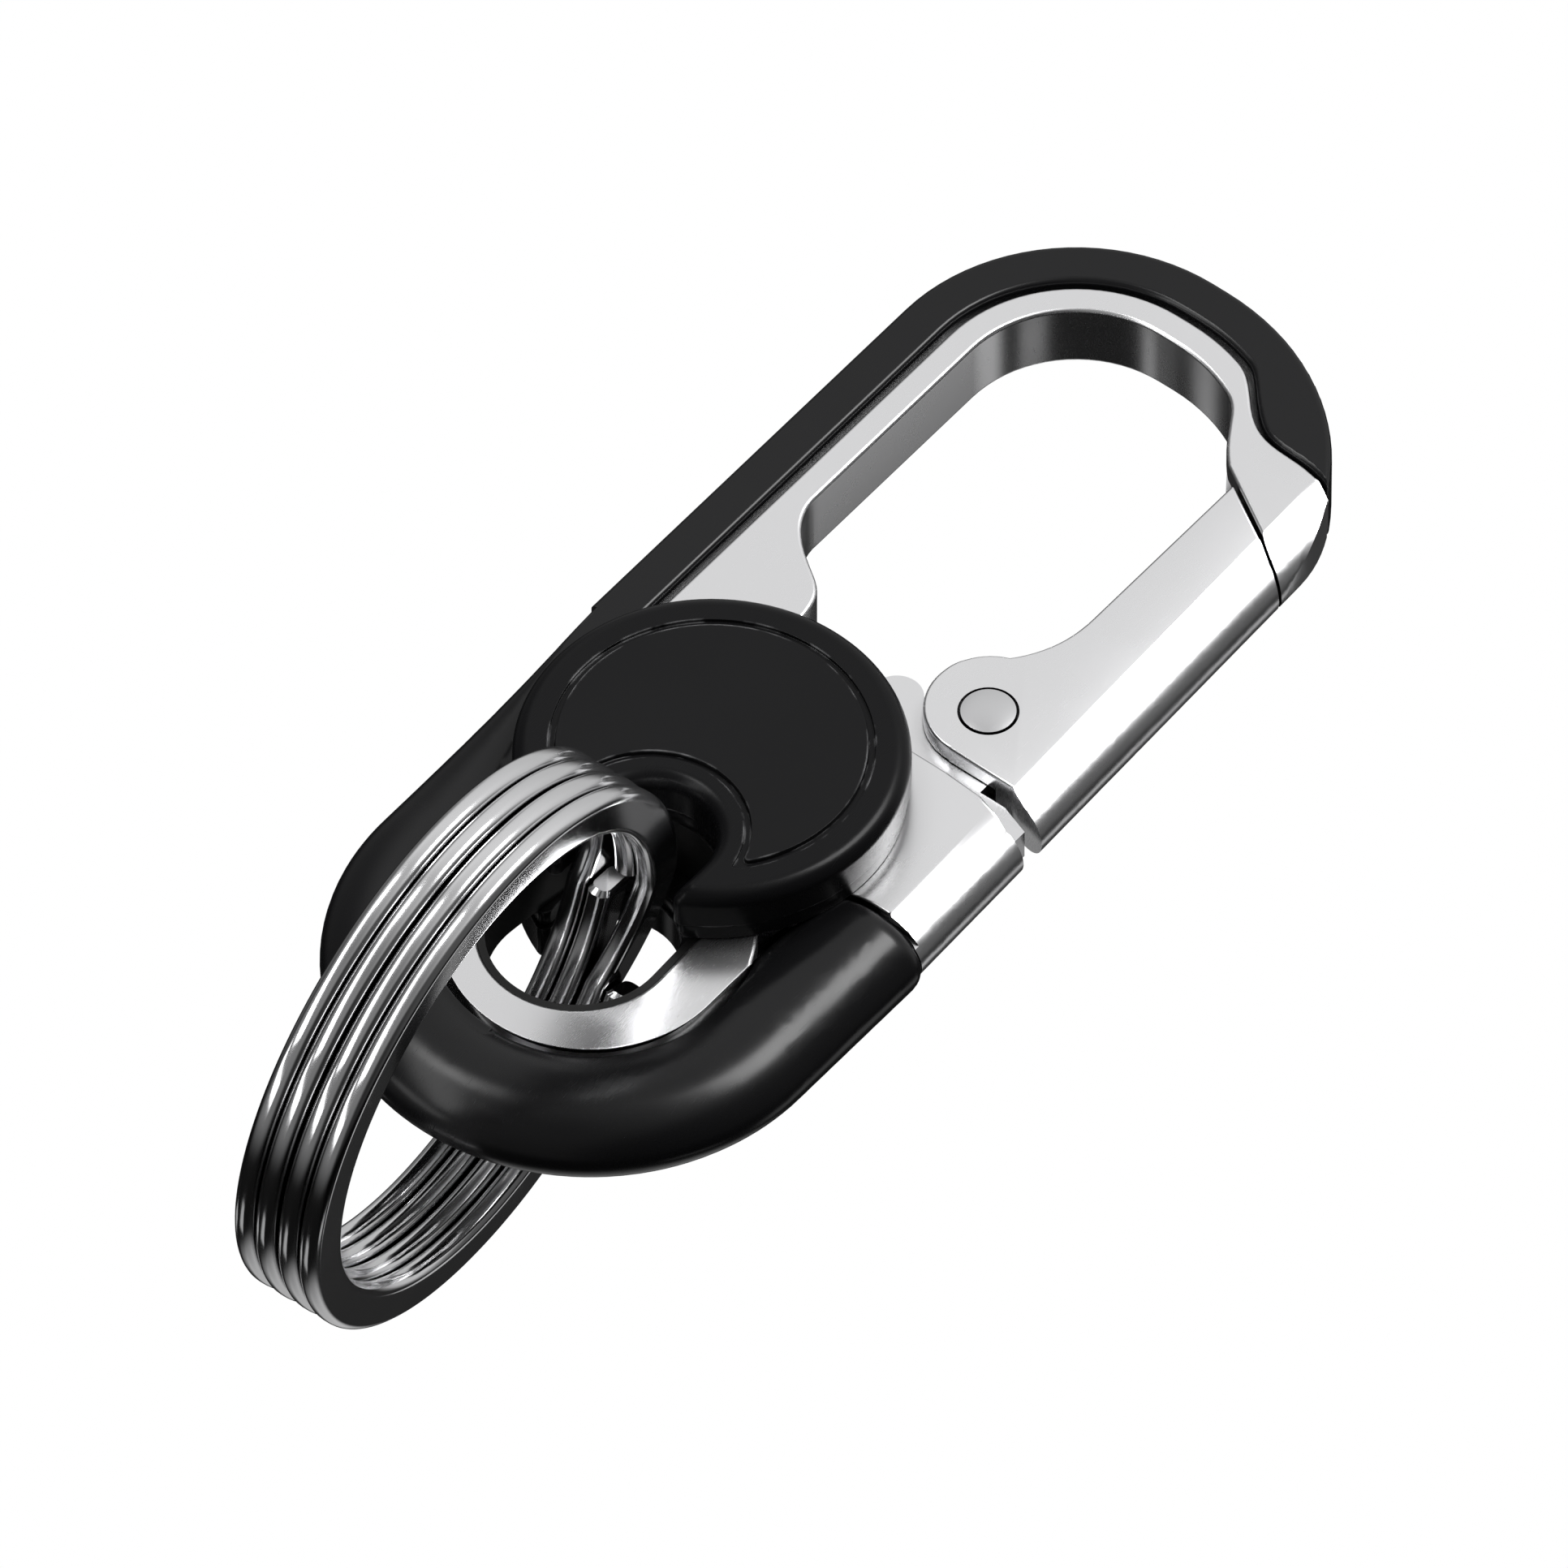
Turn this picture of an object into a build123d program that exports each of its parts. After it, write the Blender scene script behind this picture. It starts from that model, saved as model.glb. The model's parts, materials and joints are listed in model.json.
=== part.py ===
from build123d import *
from math import cos, radians, sin
import os

# Carabiner keyring, millimetres.
# +Z is up when the clip hangs, -Y is the front face, +X is the gate side.
# The origin is the hang point: the middle of the opening's top arch, at mid thickness.
# "Forward" heights are measured from the mid plane towards the front (-Y).

# ---- driving dimensions ----
body_thickness = 4.5
half_body = body_thickness / 2

outer_left_x = -13.85
outer_top_z = 4.95
left_arch_radius = 12.5
right_arch_radius = 15.65
outer_right_x_at_nose = 15.35
bow_radius = 15.3
bow_centre_z = -55.0

rail_width = 2.75
groove_width = 0.45
limb_width = 1.75
groove_cut_depth = 1.2
rail_edge_round = 0.4

bar_half_width = 3.9
bar_half_depth = 2.75
bar_top_z = -43.3
bar_end_round = 1.5
fade_top_z = -36.0
limb_foot_z = -44.0
joint_gap = 0.3

nose_tip = (7.85, -5.3)
nose_cut_drop = 0.6
gate_nose_gap = 0.25
nose_bend_angle = 64
rail_bend_angle = 72
rail_tip_x = 13.2
gate_inner_x = 8.95
gate_foot_z = -31.65
block_top_z = -32.9
pivot_x = 8.65
pivot_z = -28.1
gate_lobe_x = 8.55
gate_lobe_z = -27.75
gate_lobe_radius = 3.85
gate_lobe_gap = 0.35
side_flat_x = 12.55
side_facet_width = 1.25
side_facet_depth = 0.6

lug_thickness = 2.1
lug_radius = 3.3
fork_side_gap = 0.1
fork_slot_radius = 4.9
latch_thickness = 1.4
latch_height = 1.0
latch_gap = 0.25

rivet_radius = 1.2
rivet_head_radius = 1.62
rivet_head_sink = 0.45
rivet_head_rise = 0.2
rivet_recess_gap = 0.15
running_gap = 0.05
bush_wall = 0.3

spring_wire = 0.42
spring_turns = 2
spring_mean_radius = 2.15
spring_pocket_radius = 2.75
spring_pocket_depth = 1.5
spring_leg_length = 4.6
spring_foot_leg = 2.2
spring_turn_gap = 0.08

disc_z = -42.3
disc_radius = 11.3
disc_height = 3.8
flange_height = 1.1
disc_seam = 0.12
disc_seam_inset = 0.35
disc_side_gap = 0.15
disc_shoulder = 1.0
rear_shoulder = 0.45
seat_radius = 10.7
bite_x = 1.2
bite_z = -49.3
bite_radius = 3.7
bite_corner_round = 0.5
rear_bite_x = 0.0
rear_bite_z = -50.9
rear_bite_radius = 3.6
flange_inset = 0.15
rim_border = 2.05
bite_border = 1.6
inlay_corner_round = 0.25
border_groove_width = 0.4
border_groove_depth = 0.22
inlay_thickness = 0.7
inlay_rise = 0.06

eye_x = 0.75
eye_z = -55.3
eye_radius = 5.25
eye_top_x = 0.9
eye_top_z = -50.3
eye_top_radius = 4.9
eye_plate_x = 1.25
eye_plate_z = -54.5
eye_plate_radius = 9.3
liner_wall = 0.45
liner_inset = 0.15

screw_radius = 0.8
screw_hole_reach = 12
screw_circle_radius = 6.0
screw_angles = (30, 90, 150)
dowel_radius = 0.9

ring_outer_radius = 17.45
ring_radial = 2.8
ring_coil_thickness = 1.42
ring_coil_gap = 0.04
ring_gap = 0.12
ring_centre = (1.4, -4.25, -66.9)
ring_roll = 3.0
ring_yaw = -4.0
ring_ramp_angle = 34.0
ring_edge_round = 0.45

# ---- derived values ----
bow_centre_x = outer_left_x + bow_radius
outer_right_x_at_bow = bow_centre_x + bow_radius
right_arch_x = outer_right_x_at_nose - right_arch_radius
right_arch_z = outer_top_z - right_arch_radius
left_arch_x = outer_left_x + left_arch_radius
left_arch_z = outer_top_z - left_arch_radius
frame_inset = rail_width + groove_width
opening_inset = frame_inset + limb_width
side_lean = (outer_right_x_at_bow - outer_right_x_at_nose) / (right_arch_z - bow_centre_z)


# ---- helpers ----
def slab(sketch, back, front):
    """A front-view outline given thickness from one forward height to another."""
    return extrude(Plane.XZ.offset(back) * sketch, front - back)


def point_on_circle(x, z, radius, angle):
    return (x + radius * cos(radians(angle)), z + radius * sin(radians(angle)))


def disc_at(x, z, radius):
    return Pos(x, z) * Circle(radius)


def box_between(x0, z0, x1, z1):
    return Pos((x0 + x1) / 2, (z0 + z1) / 2) * Rectangle(abs(x1 - x0), abs(z1 - z0))


def outer_x(z):
    """Where the right side of the outline stands at a height."""
    return outer_right_x_at_nose + side_lean * (right_arch_z - z)


def nose_cut_z(x):
    """Height of the slanting cut between nose and gate."""
    return nose_tip[1] - nose_cut_drop * (x - nose_tip[0])


# ---- outlines in the front view, as x and z ----
def outline(inset=0.0):
    """The whole carabiner's outline, or one set in from it."""
    left = outer_left_x + inset
    top = outer_top_z - inset
    right_top = outer_right_x_at_nose - inset
    right_bottom = outer_right_x_at_bow - inset
    edges = [
        Line((left, bow_centre_z), (left, left_arch_z)),
        CenterArc((left_arch_x, left_arch_z), left_arch_radius - inset, 90, 90),
        Line((left_arch_x, top), (right_arch_x, top)),
        CenterArc((right_arch_x, right_arch_z), right_arch_radius - inset, 0, 90),
        Line((right_top, right_arch_z), (right_bottom, bow_centre_z)),
        CenterArc((bow_centre_x, bow_centre_z), bow_radius - inset, 180, 180),
    ]
    return make_face(Curve() + edges)


def bright_region(inset):
    """Everything the dark rail wraps: inside the arch and below the rail's end on the nose."""
    left = outer_left_x + inset
    top = outer_top_z - inset
    drop = (inset - rail_width) / 2
    far = 22
    arch_end = point_on_circle(right_arch_x, right_arch_z, right_arch_radius - inset, rail_bend_angle)
    shoulder = Spline(
        arch_end,
        (5.1 - drop, 0.55 - drop),
        (6.95 - drop, -1.3 - drop),
        (8.1 - drop / 2, -2.05 - drop),
        (9.8, -2.35 - drop),
        (11.4, -2.45 - drop),
        (13.0, -2.9 - drop),
        (15.2, -4.3 - drop),
        tangents=[(0.95, -0.31), (0.8, -0.6)],
    )
    rest = Polyline(
        (15.2, -4.3 - drop),
        (far, -10 - drop),
        (far, bow_centre_z - 5),
        (left, bow_centre_z - 5),
        (left, left_arch_z),
    )
    edges = [
        rest,
        CenterArc((left_arch_x, left_arch_z), left_arch_radius - inset, 90, 90),
        Line((left_arch_x, top), (right_arch_x, top)),
        CenterArc(
            (right_arch_x, right_arch_z),
            right_arch_radius - inset,
            rail_bend_angle,
            90 - rail_bend_angle,
        ),
        shoulder,
    ]
    return make_face(Curve() + edges)


def opening_region():
    """The space inside the arch, down to the seat of the disc."""
    arch_left = left_arch_radius - opening_inset
    arch_right = right_arch_radius - opening_inset
    top = outer_top_z - opening_inset
    arch_end = point_on_circle(right_arch_x, right_arch_z, arch_right, nose_bend_angle)
    left = outer_left_x + opening_inset
    throat = Spline((left, -21.6), (-8.2, -24.0), (-6.1, -25.9), (-4.5, -27.2), (-3.9, -29.2), (-3.7, -33))
    edges = [
        Line((left, -21.6), (left, left_arch_z)),
        CenterArc((left_arch_x, left_arch_z), arch_left, 90, 90),
        Line((left_arch_x, top), (right_arch_x, top)),
        CenterArc((right_arch_x, right_arch_z), arch_right, nose_bend_angle, 90 - nose_bend_angle),
        Spline(arch_end, (6.0, -2.9), nose_tip, tangents=[(0.9, -0.44), (0.75, -0.66)]),
        Polyline(nose_tip, (9.5, -6.3), (9.5, -33), (-3.7, -33)),
        throat,
    ]
    return make_face(Curve() + edges)


def gate_space():
    """What the frame leaves free for the gate, with its working gaps."""
    far = outer_x(block_top_z) + 3
    edge = Polyline(
        nose_tip,
        (far, nose_cut_z(far)),
        (far, block_top_z - 1.7),
        (14.6, block_top_z - 1.1),
        (12.2, block_top_z - 0.3),
        (8.3, block_top_z),
        (7.2, block_top_z + 0.45),
        (6.1, -31.4),
        (4.5, -27),
        nose_tip,
    )
    return make_face(edge) + disc_at(pivot_x, pivot_z, gate_reach() + gate_lobe_gap)


def gate_reach():
    """How far the gate's lobe reaches from its pivot."""
    return gate_lobe_radius + pivot_x - gate_lobe_x


def gate_outline():
    top_right = outer_x(nose_cut_z(outer_right_x_at_nose)) + 0.2
    cut = nose_cut_z(top_right) - gate_nose_gap
    inner_top = nose_cut_z(gate_inner_x) - gate_nose_gap
    foot_right = outer_x(gate_foot_z) + 0.2
    lobe_left = point_on_circle(gate_lobe_x, gate_lobe_z, gate_lobe_radius, 172)
    throat = Spline(
        (gate_inner_x, -19.0),
        (8.25, -22.4),
        (6.5, -24.75),
        lobe_left,
        tangents=[(0, -1), (-0.1, -1)],
    )
    foot = (pivot_x, gate_foot_z)
    edges = [
        Polyline((gate_inner_x, -19.0), (gate_inner_x, inner_top), (top_right, cut)),
        Polyline((top_right, cut), (foot_right, gate_foot_z - 0.9), (13.2, gate_foot_z), foot),
        Line(foot, lobe_left),
        throat,
    ]
    lobe = disc_at(gate_lobe_x, gate_lobe_z, gate_lobe_radius)
    below = box_between(-5, gate_foot_z - 6, 13.2, gate_foot_z)
    return (make_face(Curve() + edges) + lobe) - below


def bite_of(side, grow=0.0):
    """The bite at the foot of the front or rear disc, open to the rim."""
    front = (bite_x, bite_z, bite_radius)
    x, z, radius = front if side == "front" else (rear_bite_x, rear_bite_z, rear_bite_radius)
    return disc_at(x, z, radius + grow), box_between(x - radius - grow, z, x + radius + grow, z - 9)


def disc_outline(side, inset=0.0):
    """Round disc with its bite."""
    bite, mouth = bite_of(side, inset)
    plate = disc_at(0, disc_z, disc_radius - inset) - bite - mouth
    rows = plate.vertices().group_by(Axis.Y)
    return fillet(rows[0] + rows[1], bite_corner_round)


def inlay_outline(side, shrink=0.0):
    """The plate inside the sunk border line."""
    bite, mouth = bite_of(side, bite_border + shrink)
    plate = disc_at(0, disc_z, disc_radius - rim_border - shrink) - bite
    if side == "rear":
        plate -= mouth
    return fillet(plate.vertices(), inlay_corner_round)


def eye_region(grow=0.0):
    """The hole that the split rings pass through: a tall oval."""
    lower = disc_at(eye_x, eye_z, eye_radius + grow)
    upper = disc_at(eye_top_x, eye_top_z, eye_top_radius + grow)
    return make_hull((lower + upper).edges())


# ---- solids shared by more than one part ----
def side_envelope():
    """A long bar with the rounded, faceted section of the gate side."""
    section_outer = outer_right_x_at_nose
    facet_x = side_flat_x + side_facet_width
    facet_y = half_body - side_facet_depth
    front_arc = ThreePointArc((facet_x, -facet_y), (section_outer, 0), (facet_x, facet_y))
    rim = Polyline(
        (facet_x, facet_y),
        (side_flat_x, half_body),
        (side_flat_x, half_body + 2),
        (-60, half_body + 2),
        (-60, -half_body - 2),
        (side_flat_x, -half_body - 2),
        (side_flat_x, -half_body),
        (facet_x, -facet_y),
    )
    section = make_face(Curve() + [front_arc, rim])
    start_z = 20.0
    run = 110.0
    start = Pos(outer_x(start_z) - section_outer, 0, start_z) * section
    direction = Vector(side_lean, 0, -1)
    return extrude(start, amount=run * direction.length, dir=direction.normalized())


def bar_solid(grow=0.0):
    """The fat rounded bar that runs down the right side and round the bottom."""
    radius = bow_radius - bar_half_width
    run_x = bow_centre_x + radius
    section = Ellipse(bar_half_width + grow, bar_half_depth + grow)
    straight = bar_top_z + grow - bow_centre_z
    top = Pos(run_x, 0, bow_centre_z) * extrude(section, straight)
    top = fillet(top.edges().group_by(Axis.Z)[-1], bar_end_round + grow)
    around = Plane.XY * Pos(run_x, 0) * section
    bow = revolve(
        Pos(0, 0, bow_centre_z) * around,
        Axis((bow_centre_x, 0, bow_centre_z), (0, 1, 0)),
        180,
    )
    return top + bow


def fade_steps():
    """Height, half width and half depth of the bar as it fades into the rail on the left."""
    return [
        (bow_centre_z, bar_half_width, bar_half_depth),
        (-48.5, 2.8, 2.48),
        (-42.0, 1.25, 2.28),
        (fade_top_z, 0.45, half_body),
    ]


def left_fade():
    """The bar's left end, which narrows up to the rail's corner."""
    sections = [Pos(outer_left_x + width, 0, z) * Ellipse(width, depth) for z, width, depth in fade_steps()]
    return loft(sections)


def web_region():
    """The flat web between the bar's crest on the left, the limb's foot and the disc."""
    crest = [(outer_left_x + width, z) for z, width, _ in fade_steps()]
    rail_inner_x = outer_left_x + rail_width
    edges = [
        CenterArc((bow_centre_x, bow_centre_z), bow_radius - bar_half_width, 180, 90),
        Spline(*crest, tangents=[(0, 1), (0, 1)]),
        Polyline(
            crest[-1],
            (rail_inner_x, fade_top_z),
            (rail_inner_x, limb_foot_z),
            (bow_centre_x, limb_foot_z),
            (bow_centre_x, bow_centre_z - bow_radius + bar_half_width),
        ),
    ]
    return make_face(Curve() + edges)


def rivet_hole(radius):
    return slab(disc_at(pivot_x, pivot_z, radius), -8, 8)


# ---- parts ----
def make_frame():
    """Chrome casting: arch, nose, limb, disc seat, ring eye, block and pivot lug."""
    arch = outline() & bright_region(frame_inset) & box_between(-20, limb_foot_z, 20, 10)
    block = outline() & box_between(6, block_top_z, 20, -46)
    seat = disc_at(0, disc_z, seat_radius)
    eye_plate = disc_at(eye_plate_x, eye_plate_z, eye_plate_radius)
    plan = arch + block + seat + eye_plate
    above_seat = opening_region() - seat
    plan = plan - above_seat - gate_space()
    plan = plan - eye_region(liner_wall)
    body = slab(plan, -half_body, half_body)
    ledge = outline() & (bright_region(rail_width) - bright_region(frame_inset + 0.4))
    ledge = ledge & box_between(-20, limb_foot_z, 20, 10)
    body += slab(ledge, -groove_cut_depth, groove_cut_depth)
    body = body & side_envelope()
    body += pivot_lug()
    body -= bar_solid(joint_gap) - slab(box_between(-20, -75, 20, -40), -groove_cut_depth, groove_cut_depth)
    body -= bar_solid(running_gap)
    body -= rivet_hole(rivet_radius + bush_wall + running_gap)
    body -= latch_slot()
    body -= screw_holes()
    body -= dowels()
    return body


def pivot_lug():
    """The thin ear in the middle layer that carries the gate, and the sill under the gate's foot."""
    half = lug_thickness / 2
    ear = disc_at(pivot_x, pivot_z, lug_radius)
    root = Polyline((6.2, -30.2), (5.0, -34), (11.4, -34), (11.4, -29.6), (6.2, -30.2))
    stop = disc_at(3.3, -29.7, 1.55) + box_between(1.75, -33, 4.85, -29.7)
    link = make_face(Polyline((3.3, -31.3), (4.5, -28.9), (6.9, -29.6), (6.4, -33.5), (3.3, -31.3)))
    sill = Polyline((11, -35), (11, -32.3), (13.2, -32.3), (15.2, -33), (15.2, -35), (11, -35))
    ear_plan = ear + make_face(root) + link + make_face(sill)
    lug = slab(ear_plan, -half, half) + slab(stop, -half, half)
    pocket = disc_at(pivot_x, pivot_z, spring_pocket_radius)
    pocket += spring_sweep(26, 108, 5)
    pocket += spring_sweep(-66, -6, 3.9)
    return lug - slab(pocket, half - spring_pocket_depth, half + 1)


def spring_sweep(start, end, reach):
    """A fan-shaped recess that leaves a spring leg room to turn."""
    a = point_on_circle(pivot_x, pivot_z, reach, start)
    b = point_on_circle(pivot_x, pivot_z, reach, (start + end) / 2)
    c = point_on_circle(pivot_x, pivot_z, reach, end)
    centre = (pivot_x, pivot_z)
    return make_face(Polyline(centre, a, b, c, centre))


def latch_slot():
    """Pocket in the nose for the gate's latch tongue, open to the inside."""
    half = latch_thickness / 2 + latch_gap
    rise = latch_height + latch_gap
    x1 = 11.6
    plan = Polyline(
        (6.0, nose_cut_z(6.0) - 1),
        (6.0, nose_cut_z(6.0) + rise),
        (x1, nose_cut_z(x1) + rise),
        (x1, nose_cut_z(x1) - 1),
        (6.0, nose_cut_z(6.0) - 1),
    )
    return slab(make_face(plan), -half, half)


def make_gate():
    """Sprung gate: faceted bar with a forked foot and a latch tongue on top."""
    body = slab(gate_outline(), -half_body, half_body) & side_envelope()
    half = lug_thickness / 2 + fork_side_gap
    slot = disc_at(pivot_x, pivot_z, fork_slot_radius)
    slot += box_between(-2, gate_foot_z - 4, 12.0, pivot_z)
    body -= slab(slot, -half, half)
    channel = spring_sweep(54, 78, 6.2)
    body -= slab(channel, -half, half)
    body -= rivet_hole(rivet_radius)
    recess = disc_at(pivot_x, pivot_z, rivet_head_radius + rivet_recess_gap)
    body -= slab(recess, half_body - rivet_head_sink, half_body + 2)
    body -= slab(recess, -half_body - 2, -half_body + rivet_head_sink)
    low = nose_cut_z(0) - gate_nose_gap - 0.6
    x0 = gate_inner_x + 0.1
    x1 = 11.0
    tongue = Polyline(
        (x0, low - nose_cut_drop * x0),
        (x0, low - nose_cut_drop * x0 + latch_height + 0.5),
        (x1, low - nose_cut_drop * x1 + latch_height + 0.5),
        (x1, low - nose_cut_drop * x1),
        (x0, low - nose_cut_drop * x0),
    )
    return body + slab(make_face(tongue), -latch_thickness / 2, latch_thickness / 2)


def make_rivet():
    """Gate rivet: shaft with a low domed head at each end."""
    shaft = slab(disc_at(pivot_x, pivot_z, rivet_radius), -half_body, half_body)
    head = slab(
        disc_at(pivot_x, pivot_z, rivet_head_radius),
        half_body - rivet_head_sink,
        half_body + rivet_head_rise,
    )
    head = fillet(head.edges().sort_by(Axis.Y)[:1], rivet_head_rise)
    other = mirror(head, Plane.XZ)
    return shaft + head + other


def make_bush():
    """Steel bush round the rivet, between the gate's ears."""
    half = lug_thickness / 2 + fork_side_gap - 0.02
    ring = disc_at(pivot_x, pivot_z, rivet_radius + bush_wall) - disc_at(pivot_x, pivot_z, rivet_radius)
    return slab(ring, -half, half)


def make_spring():
    """Torsion spring that shuts the gate: turns round the bush and two legs."""
    half = lug_thickness / 2
    wire = spring_wire / 2
    pitch = spring_wire + spring_turn_gap
    floor = half - spring_pocket_depth + spring_turn_gap + wire
    start = Plane(origin=(pivot_x, -floor, pivot_z), x_dir=(1, 0, 0), z_dir=(0, -1, 0))
    path = start * Helix(pitch=pitch, height=pitch * spring_turns, radius=spring_mean_radius)
    coil = sweep(Plane(origin=path @ 0, z_dir=path % 0) * Circle(wire), path=path, is_frenet=True)
    foot_leg = extrude(Plane(origin=path @ 0, z_dir=(0, 0, -1)) * Circle(wire), spring_foot_leg)
    top_leg = extrude(Plane(origin=path @ 1, z_dir=(0, 0, 1)) * Circle(wire), spring_leg_length)
    return coil + foot_leg + top_leg


def make_shell():
    """Dark shell: the rail over the arch, the fat lower bar, and the web beside the eye."""
    rail = (outline() - bright_region(rail_width)) & box_between(-20, fade_top_z, 20, 10)
    body = slab(rail, -half_body, half_body)
    body = fillet(long_edges(body), rail_edge_round)
    body -= slab(box_between(rail_tip_x, -5, outer_right_x_at_nose + 1, 0), -half_body, half_body)
    body += left_fade() - slab(box_between(outer_left_x + rail_width, limb_foot_z, 4, -30), -4, 4)
    body += slab(web_region(), -half_body, half_body)
    body += bar_solid()
    chrome = disc_at(eye_plate_x, eye_plate_z, eye_plate_radius) + disc_at(0, disc_z, seat_radius)
    body -= slab(chrome, -half_body, half_body)
    disc_space = disc_at(0, disc_z, disc_radius + disc_side_gap)
    body -= slab(disc_space, half_body, half_body + disc_height)
    body -= slab(disc_space, -half_body - disc_height, -half_body)
    return body - dowels()


def long_edges(body):
    """Edges that lie in the front and rear faces, but for the cut end of the rail."""
    faces = body.edges().group_by(Axis.Y)
    return [e for e in faces[0] + faces[-1] if e.center().Z > fade_top_z + 0.5]


def facing(part, side):
    """The part as made for the front, or mirrored to the rear."""
    return part if side == "front" else mirror(part, Plane.XZ)


def make_disc_cap(side):
    """Round cap with the bite at its foot and a sunk border line."""
    low = half_body + flange_height
    high = half_body + disc_height
    cap = slab(disc_outline(side), low + disc_seam, high)
    top = cap.faces().sort_by(Axis.Y)[0]
    cap = fillet(top.edges(), disc_shoulder if side == "front" else rear_shoulder)
    cap -= slab(inlay_outline(side), high - border_groove_depth, high + 1)
    cap -= slab(inlay_outline(side, border_groove_width), high - inlay_thickness, high + 1)
    cap += slab(disc_outline(side, disc_seam_inset), low, low + disc_seam)
    return facing(cap - screw_holes(), side)


def make_disc_inlay(side):
    """Plate that fills the cap inside its border line."""
    high = half_body + disc_height
    plate = slab(inlay_outline(side, border_groove_width), high - inlay_thickness, high + inlay_rise)
    return facing(plate, side)


def make_disc_flange(side):
    """Flat washer of the disc's own outline, between cap and frame."""
    plate = slab(disc_outline(side, flange_inset), half_body, half_body + flange_height)
    return facing(plate - screw_holes(), side)


def make_liner():
    """Dark sleeve that lines the eye where the rings run."""
    height = half_body - liner_inset
    return slab(eye_region(liner_wall) - eye_region(), -height, height)


def make_screws():
    """Three screws that pull the two discs together through the frame."""
    reach = half_body + disc_height - inlay_thickness
    screws = Part()
    for angle in screw_angles:
        x, z = point_on_circle(0, disc_z, screw_circle_radius, angle)
        screws += slab(disc_at(x, z, screw_radius), -reach, reach)
    return screws


def screw_holes():
    holes = Part()
    for angle in screw_angles:
        x, z = point_on_circle(0, disc_z, screw_circle_radius, angle)
        holes += slab(disc_at(x, z, screw_radius), -screw_hole_reach, screw_hole_reach)
    return holes


def dowels():
    """Hidden dowels that hold the dark shell to the frame."""
    bar_x = bow_centre_x + bow_radius - bar_half_width
    down = Pos(bar_x, 0, bar_top_z) * Cylinder(dowel_radius, 9)
    across = Pos(outer_left_x + 3.1, 0, -36) * Rot(0, 90, 0) * Cylinder(dowel_radius, 3.6)
    return down + across


def make_split_ring(shift):
    """Two flat coils of wire joined by a short ramp, shifted along the ring's axis."""
    mean = ring_outer_radius - ring_radial / 2
    level = ring_coil_thickness + ring_coil_gap
    half_ramp = ring_ramp_angle / 2
    axis = Axis((0, 0, 0), (0, 0, 1))
    section = Rectangle(ring_radial, ring_coil_thickness)
    section = fillet(section.vertices(), ring_edge_round)

    def section_at(angle, height):
        spot = Plane.XZ * Pos(mean, height) * section
        return Rot(0, 0, angle) * spot

    def coil(height):
        return revolve(section_at(half_ramp, height), axis, 360 - ring_ramp_angle)

    low = -level / 2 + shift
    steps = []
    for k in range(7):
        share = k / 6
        smooth = share * share * (3 - 2 * share)
        steps.append(section_at(-half_ramp + ring_ramp_angle * share, low + level * smooth))
    ramp = loft(steps)
    return coil(low) + coil(low + level) + ramp


def ring_place():
    """Where the rings hang: their middle and the direction of their axis."""
    yaw = radians(ring_yaw)
    roll = radians(ring_roll)
    direction = Vector(cos(yaw) * cos(roll), -sin(yaw) * cos(roll), sin(roll))
    up = Vector(0, 0, 1) - direction * direction.Z
    return Plane(origin=ring_centre, x_dir=up.normalized(), z_dir=direction)


if __name__ == "__main__":
    os.makedirs("parts", exist_ok=True)
    level = ring_coil_thickness + ring_coil_gap
    ring_shift = level + (ring_gap - ring_coil_gap) / 2
    turned = ring_place()
    parts = {
        "frame": make_frame(),
        "outer_shell": make_shell(),
        "gate": make_gate(),
        "gate_rivet": make_rivet(),
        "gate_bush": make_bush(),
        "gate_spring": make_spring(),
        "front_disc_cap": make_disc_cap("front"),
        "front_disc_inlay": make_disc_inlay("front"),
        "front_disc_flange": make_disc_flange("front"),
        "rear_disc_cap": make_disc_cap("rear"),
        "rear_disc_inlay": make_disc_inlay("rear"),
        "rear_disc_flange": make_disc_flange("rear"),
        "eye_liner": make_liner(),
        "disc_screws": make_screws(),
        "shell_dowels": dowels(),
        "split_ring_inner": turned * Rot(0, 0, 8) * make_split_ring(-ring_shift),
        "split_ring_outer": turned * Rot(0, 0, -14) * make_split_ring(ring_shift),
    }
    for name, part in parts.items():
        print(name, round(part.volume, 2), len(part.solids()), part.is_valid)
        export_step(part, f"parts/{name}.step")
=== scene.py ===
"""Looks of a pocket carabiner key holder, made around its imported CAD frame.

Everything is in metres, in the frame of the CAD model: +Z is up when the clip hangs,
-Y is the front face and +X is the gate side.
"""

import json
import logging
import math
from dataclasses import dataclass, field
from enum import Enum
from typing import Callable, Iterable, Optional

import bmesh
import bpy
from mathutils import Matrix, Vector


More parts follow.
